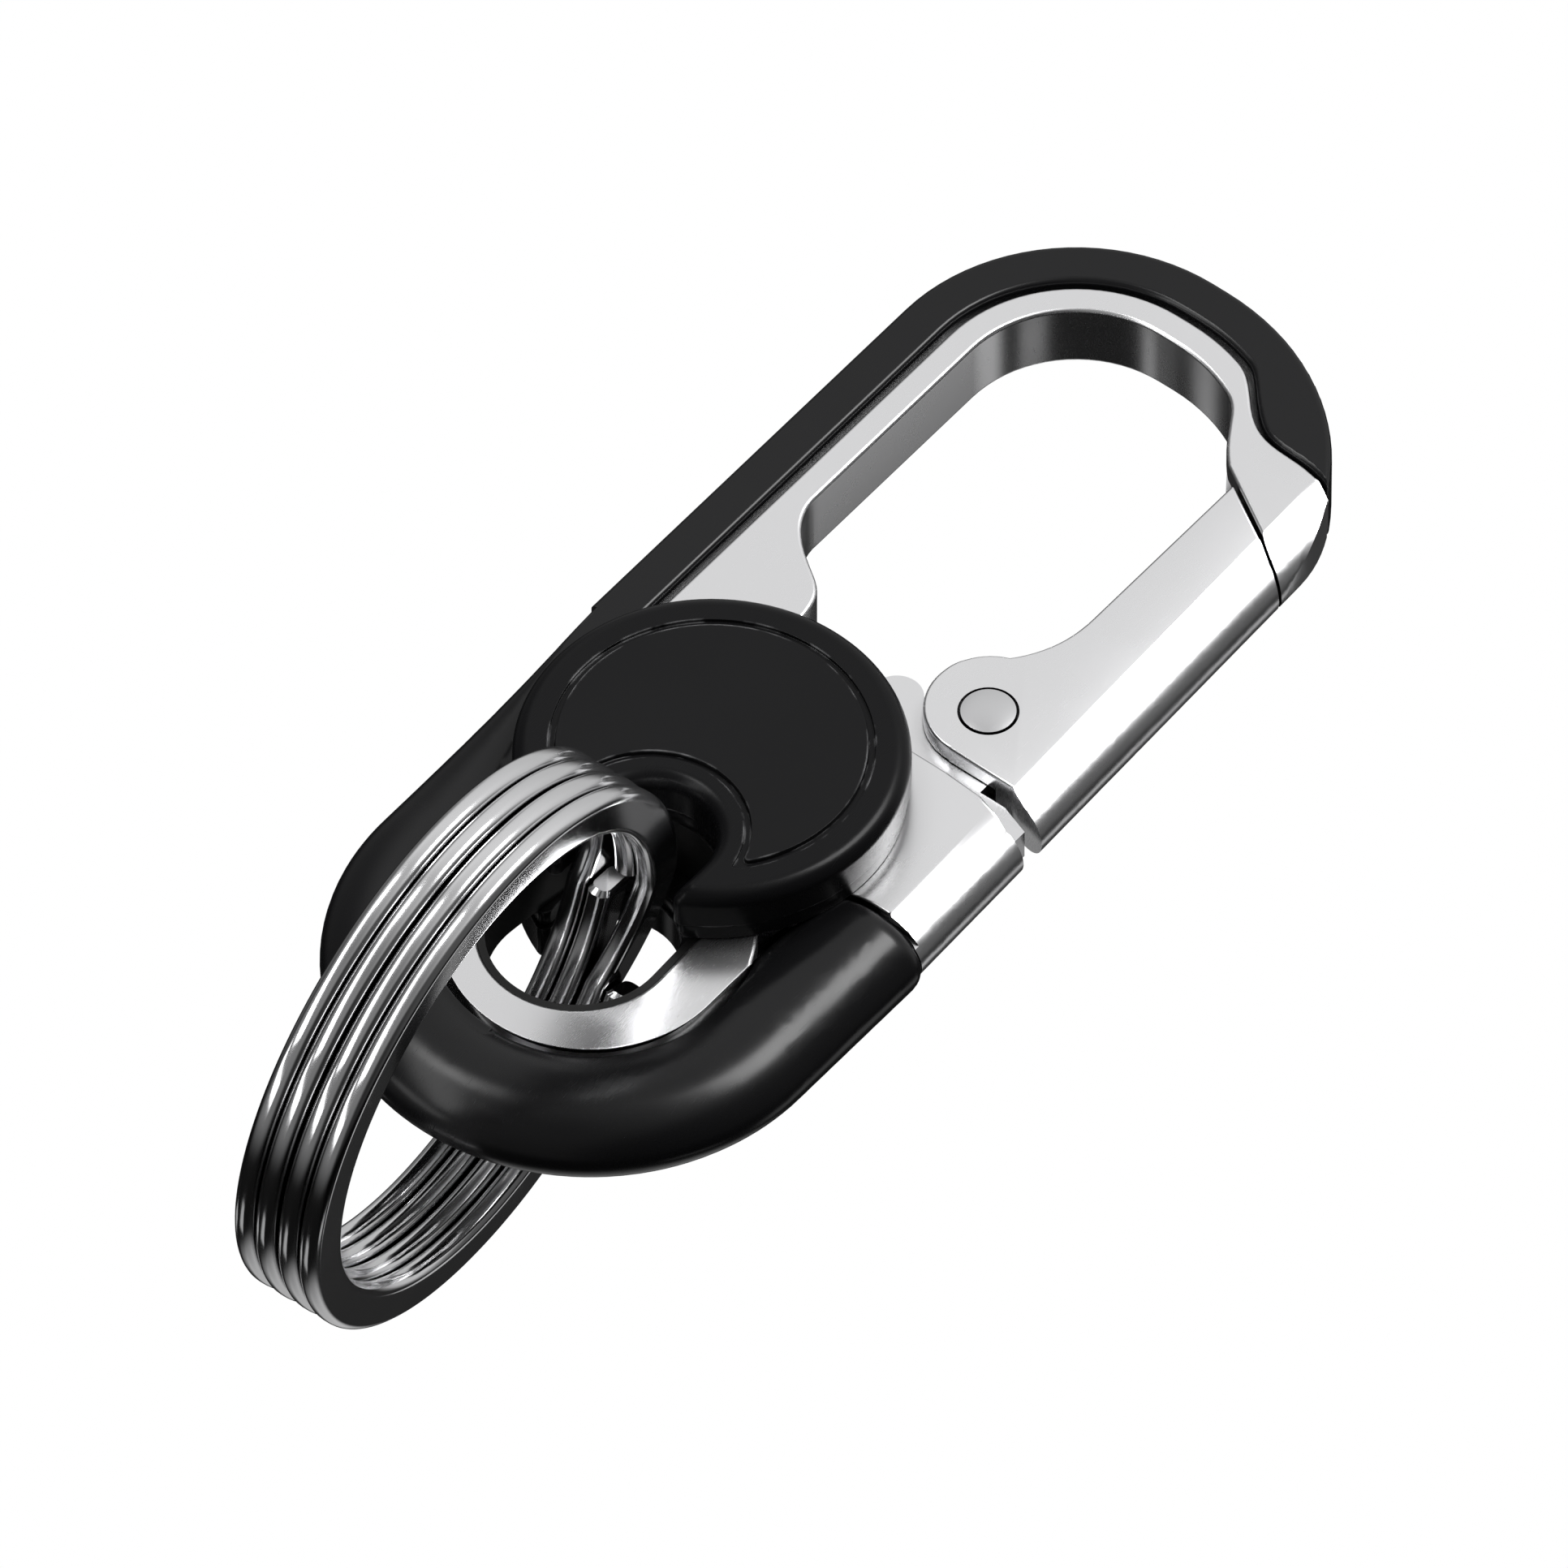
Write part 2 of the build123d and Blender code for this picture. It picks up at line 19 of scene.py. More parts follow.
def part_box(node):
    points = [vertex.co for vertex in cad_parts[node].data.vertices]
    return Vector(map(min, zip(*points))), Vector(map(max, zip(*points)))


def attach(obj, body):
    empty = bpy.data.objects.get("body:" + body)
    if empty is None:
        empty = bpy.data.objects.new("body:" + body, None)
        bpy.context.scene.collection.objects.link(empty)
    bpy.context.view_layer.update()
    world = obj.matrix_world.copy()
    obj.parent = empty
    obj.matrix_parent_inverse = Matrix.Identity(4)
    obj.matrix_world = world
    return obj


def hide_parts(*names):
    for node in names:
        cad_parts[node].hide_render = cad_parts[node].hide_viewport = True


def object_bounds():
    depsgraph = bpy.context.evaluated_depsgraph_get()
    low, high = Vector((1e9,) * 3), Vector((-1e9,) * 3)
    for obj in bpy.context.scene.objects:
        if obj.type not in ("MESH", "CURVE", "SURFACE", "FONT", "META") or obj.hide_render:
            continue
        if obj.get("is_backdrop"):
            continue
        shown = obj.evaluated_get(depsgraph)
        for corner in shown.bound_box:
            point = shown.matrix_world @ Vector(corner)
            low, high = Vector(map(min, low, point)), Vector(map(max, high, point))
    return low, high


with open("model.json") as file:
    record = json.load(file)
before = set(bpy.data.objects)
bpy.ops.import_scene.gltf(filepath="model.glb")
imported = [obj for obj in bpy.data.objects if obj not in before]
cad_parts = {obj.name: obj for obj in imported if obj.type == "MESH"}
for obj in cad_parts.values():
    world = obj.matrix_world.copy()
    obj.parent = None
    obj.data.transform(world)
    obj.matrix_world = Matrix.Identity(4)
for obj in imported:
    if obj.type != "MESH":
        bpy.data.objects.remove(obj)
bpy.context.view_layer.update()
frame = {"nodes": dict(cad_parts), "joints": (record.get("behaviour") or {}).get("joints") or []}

LOG = logging.getLogger("carabiner_keyring")
MM = 0.001
WELD_DISTANCE = 0.001 * MM
FLAT_ANGLE = 0.4


class Slot(Enum):
    """The record's material slots."""

    CHROME = "chrome_casting"
    SHELL = "dark_shell"
    DISC = "dark_disc"
    INLAY = "dark_inlay"
    LINER = "dark_liner"
    RIVET = "rivet_steel"
    SPRING = "spring_steel"
    RING = "ring_steel"


class Body(Enum):
    """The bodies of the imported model."""

    CLIP = "clip_body"
    GATE = "gate_assembly"
    INNER_RING = "inner_ring"
    OUTER_RING = "outer_ring"


# ---------------------------------------------------------------- node groups


def new_group(name: str, inputs: dict[str, float], outputs: dict[str, str]) -> bpy.types.ShaderNodeTree:
    """Starts a shader node group.

    Args:
        name: the group's name.
        inputs: the default of each float input.
        outputs: the socket type of each output.

    Returns:
        The node tree, with its group input and output nodes in place.
    """
    tree = bpy.data.node_groups.new(name, "ShaderNodeTree")
    for label, default in inputs.items():
        socket = tree.interface.new_socket(name=label, in_out="INPUT", socket_type="NodeSocketFloat")
        socket.default_value = default
    for label, kind in outputs.items():
        tree.interface.new_socket(name=label, in_out="OUTPUT", socket_type=kind)
    tree.nodes.new("NodeGroupInput").name = "in"
    tree.nodes.new("NodeGroupOutput").name = "out"
    return tree


def put(tree: bpy.types.NodeTree, kind: str, **settings: object) -> bpy.types.Node:
    """Adds a node and sets its attributes and the inputs given by name.

    Args:
        tree: the tree that gets the node.
        kind: the node's type, without its ShaderNode prefix.
        **settings: attributes; a dict called values holds input defaults.

    Returns:
        The new node.
    """
    node = tree.nodes.new("ShaderNode" + kind)
    values = settings.pop("values", {})
    for name, value in settings.items():
        setattr(node, name, value)
    for name, value in values.items():
        node.inputs[name].default_value = value
    return node


def hairline_group() -> bpy.types.ShaderNodeTree:
    """Handling marks: fine crossing hairlines and broad smudges.

    Returns:
        A group with a mask of the hairlines and one of the smudges.
    """
    tree = new_group(
        "handling_marks",
        {"Scale": 900.0, "Smudge Scale": 90.0, "Seed": 0.0},
        {"Mask": "NodeSocketFloat", "Smudge": "NodeSocketFloat"},
    )
    links = tree.links.new
    entry, out = tree.nodes["in"], tree.nodes["out"]
    place = put(tree, "TexCoord")
    strands = []
    for turn, stretch in ((0.5, 14.0), (-0.9, 11.0)):
        mapping = put(tree, "Mapping")
        mapping.inputs["Rotation"].default_value = (0.15, turn, 0.1)
        mapping.inputs["Scale"].default_value = (stretch, 1.0, 1.0)
        links(place.outputs["Object"], mapping.inputs["Vector"])
        noise = put(tree, "TexNoise", noise_dimensions="4D", values={"Detail": 2.0, "Roughness": 0.6})
        links(mapping.outputs["Vector"], noise.inputs["Vector"])
        links(entry.outputs["Scale"], noise.inputs["Scale"])
        links(entry.outputs["Seed"], noise.inputs["W"])
        line = put(tree, "MapRange", values={"From Min": 0.6, "From Max": 0.75})
        links(noise.outputs["Fac"], line.inputs["Value"])
        strands.append(line)
    both = put(tree, "Math", operation="MAXIMUM")
    links(strands[0].outputs["Result"], both.inputs[0])
    links(strands[1].outputs["Result"], both.inputs[1])
    smudge = put(tree, "TexNoise", noise_dimensions="4D", values={"Detail": 3.0, "Roughness": 0.55})
    links(place.outputs["Object"], smudge.inputs["Vector"])
    links(entry.outputs["Smudge Scale"], smudge.inputs["Scale"])
    links(entry.outputs["Seed"], smudge.inputs["W"])
    patches = put(tree, "MapRange", values={"From Min": 0.35, "From Max": 0.7})
    links(smudge.outputs["Fac"], patches.inputs["Value"])
    links(both.outputs[0], out.inputs["Mask"])
    links(patches.outputs["Result"], out.inputs["Smudge"])
    return tree


def edge_wear_and_highlight_group() -> bpy.types.ShaderNodeTree:
    """Where an outer edge has been rubbed, and a painted highlight along the same edges, broken up by noise.

    Returns:
        A group with one mask, 1 on the rubbed edges that also carry the painted highlight.
    """
    tree = new_group("rubbed_and_highlit_edges", {"Width": 0.25 * MM, "Seed": 0.0}, {"Mask": "NodeSocketFloat"})
    links = tree.links.new
    entry, out = tree.nodes["in"], tree.nodes["out"]
    rounded = put(tree, "Bevel", samples=6)
    links(entry.outputs["Width"], rounded.inputs["Radius"])
    geometry = put(tree, "NewGeometry")
    same = put(tree, "VectorMath", operation="DOT_PRODUCT")
    links(rounded.outputs["Normal"], same.inputs[0])
    links(geometry.outputs["Normal"], same.inputs[1])
    turned = put(tree, "MapRange", values={"From Min": 0.995, "From Max": 0.93})
    links(same.outputs["Value"], turned.inputs["Value"])
    place = put(tree, "TexCoord")
    noise = put(tree, "TexNoise", noise_dimensions="4D", values={"Scale": 420.0, "Detail": 4.0})
    links(place.outputs["Object"], noise.inputs["Vector"])
    links(entry.outputs["Seed"], noise.inputs["W"])
    broken = put(tree, "MapRange", values={"From Min": 0.48, "From Max": 0.62})
    links(noise.outputs["Fac"], broken.inputs["Value"])
    product = put(tree, "Math", operation="MULTIPLY")
    links(turned.outputs["Result"], product.inputs[0])
    links(broken.outputs["Result"], product.inputs[1])
    links(product.outputs[0], out.inputs["Mask"])
    return tree


def painted_shade_group() -> bpy.types.ShaderNodeTree:
    """Painted shade: darkens the colour where ambient occlusion finds grooves, joints and the gaps between
    coils.

    Returns:
        A group with one mask, 1 in the deepest crevices.
    """
    tree = new_group("painted_crevice_shade", {"Reach": 0.7 * MM}, {"Mask": "NodeSocketFloat"})
    links = tree.links.new
    entry, out = tree.nodes["in"], tree.nodes["out"]
    shut = put(tree, "AmbientOcclusion", samples=8)
    links(entry.outputs["Reach"], shut.inputs["Distance"])
    depth = put(tree, "MapRange", values={"From Min": 0.62, "From Max": 0.3})
    links(shut.outputs["AO"], depth.inputs["Value"])
    links(depth.outputs["Result"], out.inputs["Mask"])
    return tree


# ---------------------------------------------------------------- finishes


class Groups:
    """The shared node groups, each built once."""

    def __init__(self) -> None:
        """Builds every group."""
        self.marks = hairline_group()
        # edge wear together with a painted highlight along the edges
        self.edges = edge_wear_and_highlight_group()
        # painted shade in grooves, joints and between coils
        self.painted_shade = painted_shade_group()


def start_material(name: str) -> tuple[bpy.types.Material, bpy.types.NodeTree, bpy.types.Node]:
    """Starts a node material that holds one Principled shader.

    Args:
        name: the material's name.

    Returns:
        The material, its tree and its shader.
    """
    material = bpy.data.materials.new(name)
    material.use_nodes = True
    tree = material.node_tree
    return material, tree, tree.nodes["Principled BSDF"]


def put_group(tree: bpy.types.NodeTree, group: bpy.types.NodeTree, **values: float) -> bpy.types.Node:
    """Places a node group with its own values.

    Args:
        tree: the material's tree.
        group: the shared group.
        **values: input values, with _ for a space.

    Returns:
        The group node.
    """
    node = tree.nodes.new("ShaderNodeGroup")
    node.node_tree = group
    for name, value in values.items():
        node.inputs[name.replace("_", " ")].default_value = value
    return node


def wear_gloss(
    tree: bpy.types.NodeTree, marks: bpy.types.Node, smudged: tuple[float, float], line: float
) -> None:
    """Links the handling marks to the shader's roughness.

    Args:
        tree: the material's tree.
        marks: its handling marks group.
        smudged: the roughness where it is clean and where it is smudged.
        line: what a hairline adds.
    """
    clean, dull = smudged
    broad = put(tree, "MapRange", values={"To Min": clean, "To Max": dull})
    tree.links.new(marks.outputs["Smudge"], broad.inputs["Value"])
    fine = put(tree, "Math", operation="MULTIPLY_ADD")
    fine.inputs[1].default_value = line
    tree.links.new(marks.outputs["Mask"], fine.inputs[0])
    tree.links.new(broad.outputs["Result"], fine.inputs[2])
    tree.links.new(fine.outputs[0], tree.nodes["Principled BSDF"].inputs["Roughness"])


@dataclass(frozen=True)
class Metal:
    """Bright plate or bare steel: a metal whose gloss varies with handling, with painted shade darkening its
    crevices.
    """

    name: str
    color: tuple[float, float, float]
    dull_color: tuple[float, float, float]
    roughness: float
    smudge_roughness: float
    line_roughness: float = 0.03
    bump: float = 0.05
    bump_height: float = 0.004 * MM
    # painted shade: how far the occlusion looks, and the near-black colour laid into crevices
    painted_shade_reach: float = 0.7 * MM
    painted_shade_color: tuple[float, float, float] = (0.02, 0.02, 0.021)
    seed: float = 0.0

    def build(self, groups: Groups) -> bpy.types.Material:
        """Makes the material.

        Args:
            groups: the shared node groups.

        Returns:
            The finished material.
        """
        material, tree, shader = start_material(self.name)
        links = tree.links.new
        shader.inputs["Metallic"].default_value = 1.0
        marks = put_group(tree, groups.marks, Seed=self.seed)
        color = put(tree, "Mix", data_type="RGBA")
        color.inputs["A"].default_value = (*self.color, 1.0)
        color.inputs["B"].default_value = (*self.dull_color, 1.0)
        links(marks.outputs["Smudge"], color.inputs["Factor"])
        # painted shade: crevices found by ambient occlusion turn towards a near-black colour
        painted_shade = put_group(tree, groups.painted_shade, Reach=self.painted_shade_reach)
        shaded = put(tree, "Mix", data_type="RGBA")
        shaded.inputs["B"].default_value = (*self.painted_shade_color, 1.0)
        links(painted_shade.outputs["Mask"], shaded.inputs["Factor"])
        links(color.outputs["Result"], shaded.inputs["A"])
        links(shaded.outputs["Result"], shader.inputs["Base Color"])
        wear_gloss(tree, marks, (self.roughness, self.smudge_roughness), self.line_roughness)
        bump = put(tree, "Bump", values={"Strength": self.bump, "Distance": self.bump_height})
        links(marks.outputs["Mask"], bump.inputs["Height"])
        links(bump.outputs["Normal"], shader.inputs["Normal"])
        return material


@dataclass(frozen=True)
class Enamel:
    """Black enamel over metal, glossier or duller, rubbed through at the edges, where the lighter edge
    colour is also a painted highlight.
    """

    name: str
    color: tuple[float, float, float]
    # the edge colour: partly rubbed enamel, partly a painted highlight along the rims
    wear_and_highlight_color: tuple[float, float, float]
    roughness: float
    smudge_roughness: float
    specular: float
    orange_peel_scale: float = 700.0
    orange_peel: float = 0.05
    peel_height: float = 0.02 * MM
    edge_width: float = 0.18 * MM
    smudge_scale: float = 140.0
    line_roughness: float = 0.05
    seed: float = 0.0

    def build(self, groups: Groups) -> bpy.types.Material:
        """Makes the material.

        Args:
            groups: the shared node groups.

        Returns:
            The finished material.
        """
        material, tree, shader = start_material(self.name)
        links = tree.links.new
        shader.inputs["Specular IOR Level"].default_value = self.specular
        # edges lighten towards the edge colour: partly wear, partly a painted highlight
        edges = put_group(tree, groups.edges, Width=self.edge_width, Seed=self.seed)
        marks = put_group(tree, groups.marks, Seed=self.seed, Smudge_Scale=self.smudge_scale)
        color = put(tree, "Mix", data_type="RGBA")
        color.inputs["A"].default_value = (*self.color, 1.0)
        color.inputs["B"].default_value = (*self.wear_and_highlight_color, 1.0)
        links(edges.outputs["Mask"], color.inputs["Factor"])
        links(color.outputs["Result"], shader.inputs["Base Color"])
        wear_gloss(tree, marks, (self.roughness, self.smudge_roughness), self.line_roughness)
        place = put(tree, "TexCoord")
        peel = put(tree, "TexNoise", values={"Scale": self.orange_peel_scale, "Detail": 1.0})
        links(place.outputs["Object"], peel.inputs["Vector"])
        bump = put(tree, "Bump", values={"Strength": self.orange_peel, "Distance": self.peel_height})
        links(peel.outputs["Fac"], bump.inputs["Height"])
        links(bump.outputs["Normal"], shader.inputs["Normal"])
        return material


@dataclass(frozen=True)
class Finishes:
    """Every finish on the key holder."""

    chrome: Metal = Metal("chrome_plate", (0.88, 0.88, 0.89), (0.85, 0.85, 0.86), 0.25, 0.31, seed=1.0)
    rivet: Metal = Metal("rivet_plate", (0.74, 0.74, 0.75), (0.66, 0.66, 0.67), 0.2, 0.28, seed=4.0)
    spring: Metal = Metal("spring_wire", (0.45, 0.45, 0.47), (0.36, 0.35, 0.35), 0.28, 0.42, seed=6.0)
    ring: Metal = Metal("ring_nickel", (0.84, 0.84, 0.85), (0.78, 0.78, 0.79), 0.1, 0.15, seed=9.0)
    shell: Enamel = Enamel(
        "shell_enamel", (0.006, 0.006, 0.0065), (0.03, 0.03, 0.032), 0.2, 0.27, 0.3, seed=2.0
    )
    # the light grey edges of the disc and inlay are partly wear and partly a painted highlight along the
    # border lines
    disc: Enamel = Enamel(
        "disc_enamel", (0.005, 0.005, 0.0055), (0.2, 0.2, 0.205), 0.24, 0.3, 0.14, seed=3.0
    )
    inlay: Enamel = Enamel(
        "inlay_enamel", (0.007, 0.007, 0.0075), (0.2, 0.2, 0.205), 0.3, 0.36, 0.13, seed=5.0
    )
    # the liner is near-black partly as its own moulding and partly as painted shade standing in for the
    # shadow inside the eye
    liner: Enamel = Enamel(
        "liner_moulding_and_eye_shade", (0.006, 0.006, 0.006), (0.015, 0.015, 0.015), 0.42, 0.5, 0.3, 1500.0, 0.2, seed=7.0
    )

    def build(self) -> dict[Slot, bpy.types.Material]:
        """Makes every material.

        Returns:
            The material of each slot.
        """
        groups = Groups()
        return {
            Slot.CHROME: self.chrome.build(groups),
            Slot.SHELL: self.shell.build(groups),
            Slot.DISC: self.disc.build(groups),
            Slot.INLAY: self.inlay.build(groups),
            Slot.LINER: self.liner.build(groups),
            Slot.RIVET: self.rivet.build(groups),
            Slot.SPRING: self.spring.build(groups),
            Slot.RING: self.ring.build(groups),
        }


# ---------------------------------------------------------------- mesh helpers


def merged_copy(node: str) -> bmesh.types.BMesh:
    """A welded copy of a CAD node's mesh, its flat faces made whole.

    Args:
        node: the CAD node's name.

    Returns:
        A closed mesh whose sharp edges are ready to be rounded.
    """
    bm = bmesh.new()
    bm.from_mesh(frame["nodes"][node].data)
    bmesh.ops.remove_doubles(bm, verts=bm.verts, dist=WELD_DISTANCE)
    bmesh.ops.dissolve_limit(bm, angle_limit=math.radians(FLAT_ANGLE), verts=bm.verts, edges=bm.edges)
    return bm


def round_sharp(
    bm: bmesh.types.BMesh,
    width: float,
    segments: int = 3,
    least: float = 28.0,
    choose: Optional[Callable[[bmesh.types.BMEdge], bool]] = None,
) -> None:
    """Rounds a mesh's sharp edges.

    Args:
        bm: the mesh.
        width: how far the rounding reaches each side of an edge, in metres.
        segments: steps across the rounding.
        least: the smallest angle between faces, in degrees, that counts as sharp.
        choose: a further test that an edge has to pass.
    """
    limit = math.radians(least)
    edges = [e for e in bm.edges if e.is_manifold and e.calc_face_angle(0.0) > limit]
    if choose:
        edges = [e for e in edges if choose(e)]
    bmesh.ops.bevel(
        bm,
        geom=edges,
        offset=width,
        offset_type="OFFSET",
        segments=segments,
        profile=0.5,
        affect="EDGES",
        material=-1,
        clamp_overlap=False,
        loop_slide=True,
    )


def near_faces(level: float, slack: float = 0.03 * MM) -> Callable[[bmesh.types.BMEdge], bool]:
    """A test for edges that lie in the front or rear face.

    Args:
        level: the faces' distance from the mid plane.
        slack: how far off an edge may be.

    Returns:
        The test.
    """
    return lambda edge: all(abs(abs(v.co.y) - level) < slack for v in edge.verts)


def make_piece(
    bm: bmesh.types.BMesh,
    name: str,
    material: bpy.types.Material,
    body: Body,
    replaced: Iterable[str],
    sharp: float = 34.0,
) -> bpy.types.Object:
    """Turns a mesh into a finished piece of the key holder.

    Args:
        bm: the mesh, which is freed.
        name: the piece's name.
        material: its finish.
        body: the body that it rides on.
        replaced: the CAD nodes that it stands for.
        sharp: edges over this angle, in degrees, stay crisp.

    Returns:
        The piece's object.
    """
    for face in bm.faces:
        face.smooth = True
    for edge in bm.edges:
        edge.smooth = edge.calc_face_angle(0.0) < math.radians(sharp)
    mesh = bpy.data.meshes.new(name)
    bm.to_mesh(mesh)
    bm.free()
    mesh.materials.clear()
    mesh.materials.append(material)
    piece = bpy.data.objects.new(name, mesh)
    bpy.context.scene.collection.objects.link(piece)
    even = piece.modifiers.new("even_shading", "WEIGHTED_NORMAL")
    even.keep_sharp = True
    even.weight = 100
    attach(piece, body.value)
    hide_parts(*replaced)
    LOG.info("%s: %d faces on %s", name, len(mesh.polygons), body.value)
    return piece


def dress_node(node: str, material: bpy.types.Material) -> None:
    """Gives a CAD node that is shown as it is its real finish.

    Args:
        node: the node's name.
        material: its finish.
    """
    data = frame["nodes"][node].data
    for index in range(len(data.materials)):
        data.materials[index] = material
    if not data.materials:
        data.materials.append(material)
    LOG.info("%s: CAD node dressed", node)


# ---------------------------------------------------------------- sub-assemblies


@dataclass
class Casting:
    """The chrome casting with its rounded rims."""

    materials: dict[Slot, bpy.types.Material]
    half_thickness: float = 2.25 * MM
    rim_round: float = 0.26 * MM

    def build(self) -> None:
        """Makes the casting and dresses what is fixed to it."""
        bm = merged_copy("frame")
        round_sharp(bm, self.rim_round, 3, choose=near_faces(self.half_thickness))
        make_piece(bm, "chrome_casting", self.materials[Slot.CHROME], Body.CLIP, ["frame"])
        # painted shade: the black liner darkens the inside of the eye where shadow falls
        dress_node("eye_liner", self.materials[Slot.LINER])
        dress_node("disc_screws", self.materials[Slot.RIVET])
        dress_node("shell_dowels", self.materials[Slot.RIVET])


@dataclass
class GateAssembly:
    """The sprung gate, with its rivet, bush and spring."""

    materials: dict[Slot, bpy.types.Material]
    half_thickness: float = 2.25 * MM
    rim_round: float = 0.2 * MM
    shaft_radius: float = 1.2 * MM
    head_radius: float = 1.62 * MM
    head_sink: float = 0.45 * MM
    head_rise: float = 0.2 * MM
    head_lip: float = 0.03 * MM
    dome: tuple[tuple[float, float], ...] = ((0.0, 0.0), (0.45, 0.03 * MM), (0.8, 0.1 * MM))
    lip_heights: tuple[float, float] = (0.04 * MM, -0.08 * MM)
    crisp_radius: float = 2.2 * MM
    turns: int = 64

    def rivet(self) -> bmesh.types.BMesh:
        """Spins the rivet's profile round its axis.

        Returns:
            The closed rivet, with a low dome at each end.
        """
        low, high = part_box("gate_rivet")
        centre = (Vector(low) + Vector(high)) / 2
        half = self.half_thickness
        top = half + self.head_rise
        upper, lower = self.lip_heights
        profile = [(self.head_radius * share, top - drop) for share, drop in self.dome]
        profile += [
            (self.head_radius - self.head_lip, half + upper),
            (self.head_radius, half + lower),
            (self.head_radius, half - self.head_sink),
            (self.shaft_radius, half - self.head_sink),
        ]
        outline = profile + [(radius, -height) for radius, height in reversed(profile)]
        bm = bmesh.new()
        verts = [bm.verts.new((centre.x + r, centre.y - h, centre.z)) for r, h in outline]
        edges = [bm.edges.new(pair) for pair in zip(verts, verts[1:])]
        bmesh.ops.spin(
            bm,
            geom=verts + edges,
            cent=centre,
            axis=(0.0, 1.0, 0.0),
            angle=math.tau,
            steps=self.turns,
            use_merge=True,
        )
        bmesh.ops.remove_doubles(bm, verts=bm.verts, dist=WELD_DISTANCE / 2)
        bmesh.ops.recalc_face_normals(bm, faces=bm.faces)
        return bm

    def build(self) -> None:
        """Makes the gate and its rivet and dresses what is inside."""
        bm = merged_copy("gate")
        low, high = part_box("gate_rivet")
        pivot = (Vector(low) + Vector(high)) / 2
        rim = near_faces(self.half_thickness)

        def away_from_rivet(edge: bmesh.types.BMEdge) -> bool:
            """Leaves the recess round the rivet crisp."""
            offset = edge.verts[0].co - pivot
            return rim(edge) and math.hypot(offset.x, offset.z) > self.crisp_radius

        round_sharp(bm, self.rim_round, 3, choose=away_from_rivet)
        make_piece(bm, "gate_bar", self.materials[Slot.CHROME], Body.GATE, ["gate"])
        make_piece(
            self.rivet(), "rivet", self.materials[Slot.RIVET], Body.GATE, ["gate_rivet"]
        )
        dress_node("gate_bush", self.materials[Slot.RIVET])
        dress_node("gate_spring", self.materials[Slot.SPRING])


@dataclass
class DarkShell:
    """The dark rail, lower bar and web."""

    materials: dict[Slot, bpy.types.Material]

    def build(self) -> None:
        """Makes the shell."""
        bm = merged_copy("outer_shell")
        make_piece(bm, "bumper_shell", self.materials[Slot.SHELL], Body.CLIP, ["outer_shell"])


@dataclass
class Disc:
    """One round disc: cap, inlay and washer."""

    side: str
    materials: dict[Slot, bpy.types.Material]
    line_round: float = 0.05 * MM
    washer_round: float = 0.08 * MM
    sharp_angle: float = 50.0

    def build(self) -> None:
        """Makes the disc's three pieces."""
        for part, slot, width in (
            ("cap", Slot.DISC, self.line_round),
            ("inlay", Slot.INLAY, self.line_round),
            ("flange", Slot.DISC, self.washer_round),
        ):
            node = f"{self.side}_disc_{part}"
            bm = merged_copy(node)
            round_sharp(bm, width, 2, self.sharp_angle)
            make_piece(bm, f"{self.side}_{part}", self.materials[slot], Body.CLIP, [node])


